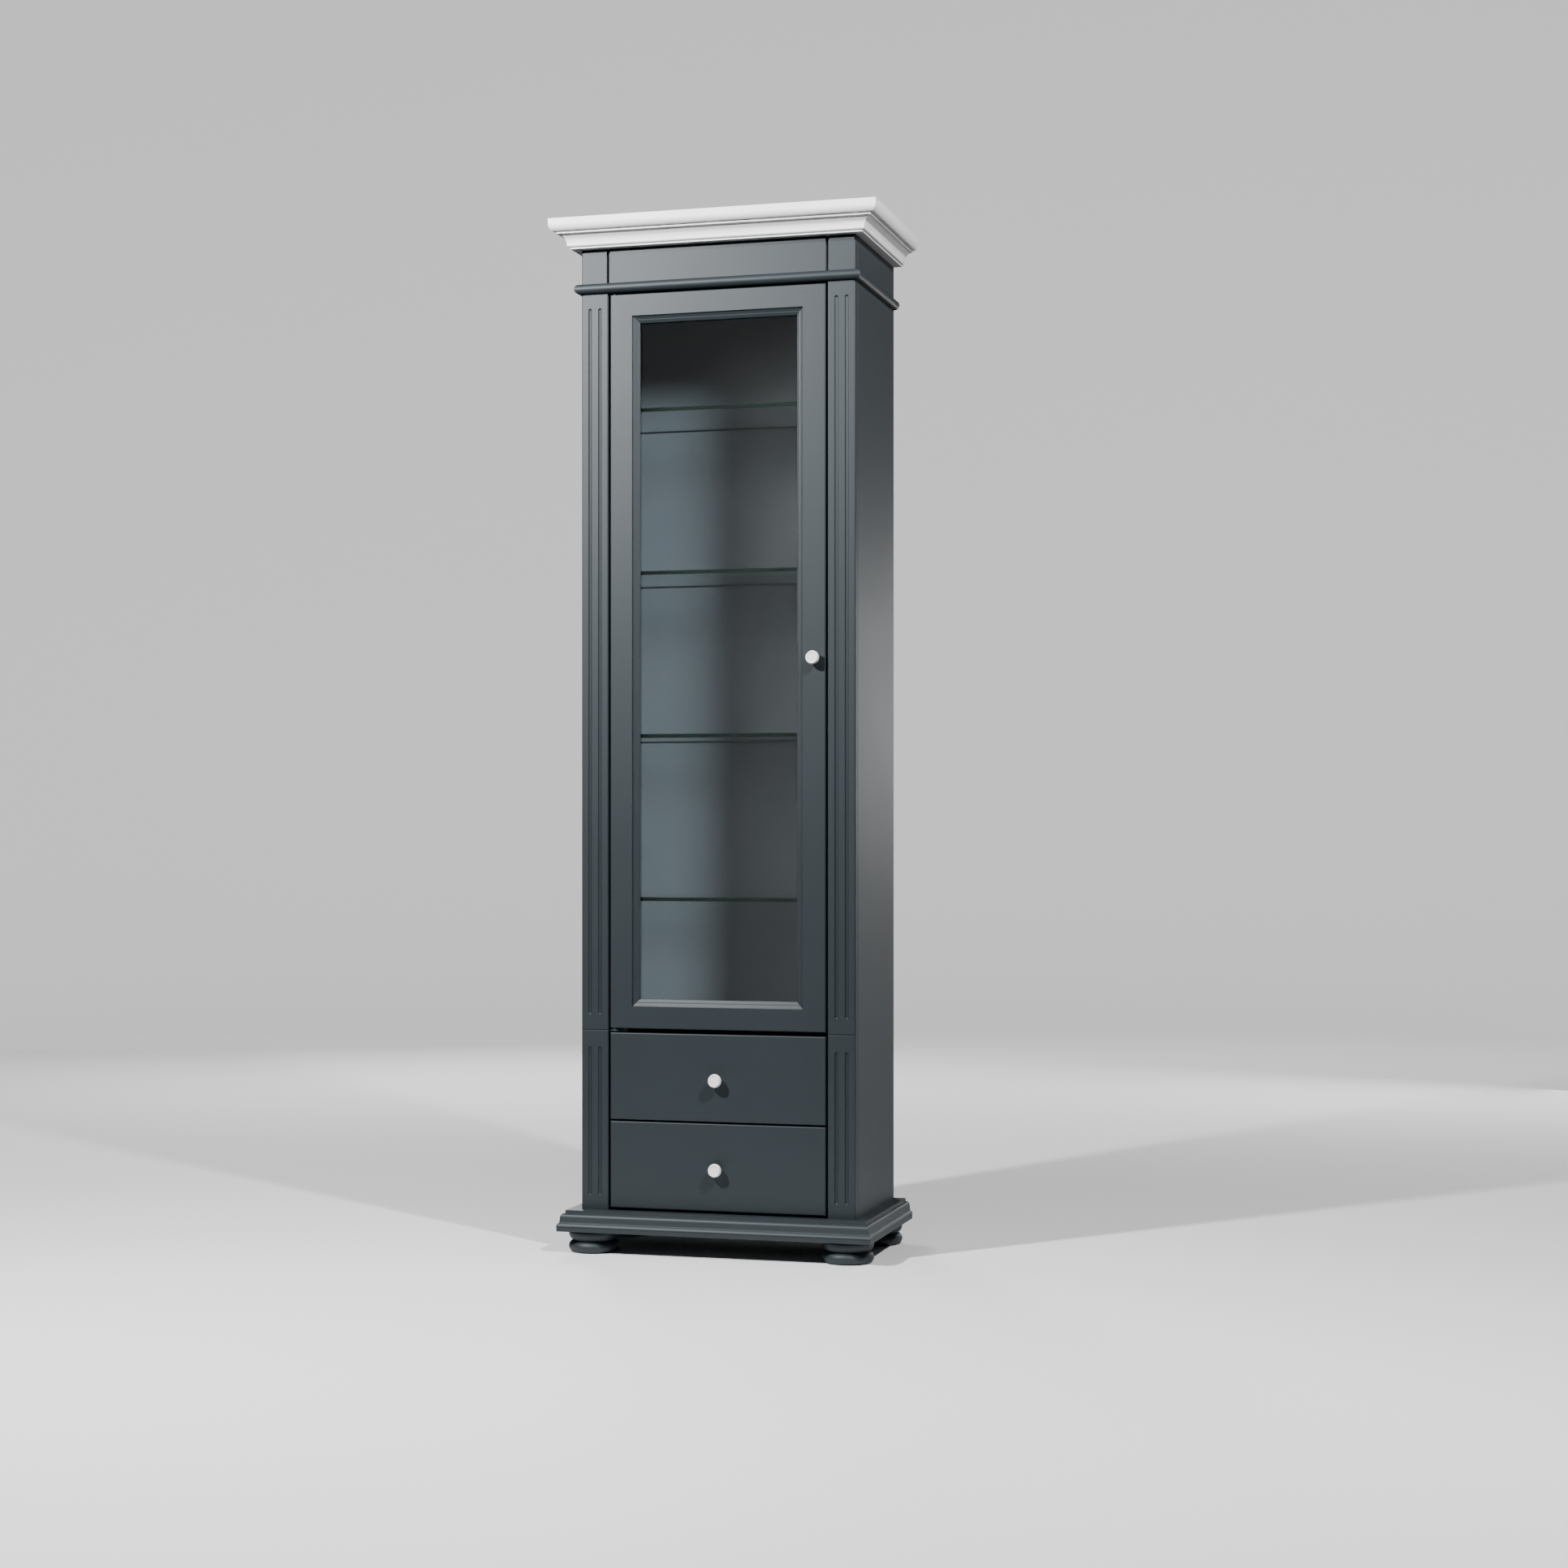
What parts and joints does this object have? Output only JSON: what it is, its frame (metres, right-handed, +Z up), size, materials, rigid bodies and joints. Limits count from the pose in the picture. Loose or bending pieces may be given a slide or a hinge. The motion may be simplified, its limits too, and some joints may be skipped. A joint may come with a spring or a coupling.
{
  "type": "display cabinet",
  "caption": "Tall painted display cabinet: glazed door with glass shelves over drawers, fluted pilasters, mitred white crown and base moulding, turned bun feet.",
  "frame": {"origin": "on the floor, under the middle of the overall width and depth", "axes": "+Z up, +X to the right seen from the front, the front faces -Y and the back +Y"},
  "size_m": [0.712, 0.4, 2.188],
  "materials": {
    "slate_paint": "satin slate blue-grey lacquer on boards",
    "white_paint": "satin white lacquer on boards",
    "white_knob": "turned, glossy white lacquer",
    "shelf_glass": "clear float glass with ground edges",
    "door_glass": "clear float glass",
    "zinc_steel": "zinc plated",
    "brass_bush": "turned",
    "catch_plastic": "moulded, matt black",
    "drawer_birch": "clear lacquered birch ply",
    "plinth_pine": "sawn pine under slate lacquer"
  },
  "bodies": {
    "carcase": {"side_panel_left": "slate_paint", "side_panel_right": "slate_paint", "bottom_panel": "slate_paint", "divider_panel": "slate_paint", "top_panel": "slate_paint", "back_panel": "slate_paint", "pilaster_upper_left": "slate_paint", "pilaster_upper_right": "slate_paint", "pilaster_lower_left": "slate_paint", "pilaster_lower_right": "slate_paint", "frieze_panel": "slate_paint", "frieze_blocks": "slate_paint", "frieze_bead_front": "slate_paint", "frieze_bead_returns": "slate_paint", "crown_front": "white_paint", "crown_left": "white_paint", "crown_right": "white_paint", "crown_board": "white_paint", "base_moulding_front": "slate_paint", "base_moulding_left": "slate_paint", "base_moulding_right": "slate_paint", "plinth_rails": "plinth_pine", "foot_front_left": "slate_paint", "foot_front_right": "slate_paint", "foot_back_left": "slate_paint", "foot_back_right": "slate_paint", "drawer_liners": "slate_paint", "runner_channels": "zinc_steel", "glass_shelf_1": "shelf_glass", "glass_shelf_2": "shelf_glass", "glass_shelf_3": "shelf_glass", "glass_shelf_4": "shelf_glass", "shelf_pins": "zinc_steel", "hinge_pivots": "zinc_steel", "magnetic_catch": "catch_plastic"},
    "door": {"door_stile_left": "slate_paint", "door_stile_right": "slate_paint", "door_rail_top": "slate_paint", "door_rail_bottom": "slate_paint", "door_glass": "door_glass", "glazing_mouldings": "slate_paint", "glazing_beads": "slate_paint", "hinge_bushes": "brass_bush", "catch_strike": "zinc_steel", "door_knob": "white_knob", "door_knob_screw": "zinc_steel"},
    "upper_drawer": {"upper_drawer_front": "slate_paint", "upper_drawer_sides": "drawer_birch", "upper_drawer_back": "drawer_birch", "upper_drawer_bottom": "drawer_birch", "upper_drawer_runner_bars": "zinc_steel", "upper_drawer_knob": "white_knob", "upper_drawer_knob_screw": "zinc_steel"},
    "lower_drawer": {"lower_drawer_front": "slate_paint", "lower_drawer_sides": "drawer_birch", "lower_drawer_back": "drawer_birch", "lower_drawer_bottom": "drawer_birch", "lower_drawer_runner_bars": "zinc_steel", "lower_drawer_knob": "white_knob", "lower_drawer_knob_screw": "zinc_steel"}
  },
  "joints": [
    {"name": "door_swing", "type": "hinge", "parent": "carcase", "child": "door", "pos_m": [-0.228, -0.136, 1.25], "axis": [0, 0, -1], "range_deg": [0, 110]},
    {"name": "upper_drawer_slide", "type": "slide", "parent": "carcase", "child": "upper_drawer", "axis": [0, -1, 0], "range_m": [0, 0.225]},
    {"name": "lower_drawer_slide", "type": "slide", "parent": "carcase", "child": "lower_drawer", "axis": [0, -1, 0], "range_m": [0, 0.225]}
  ]
}
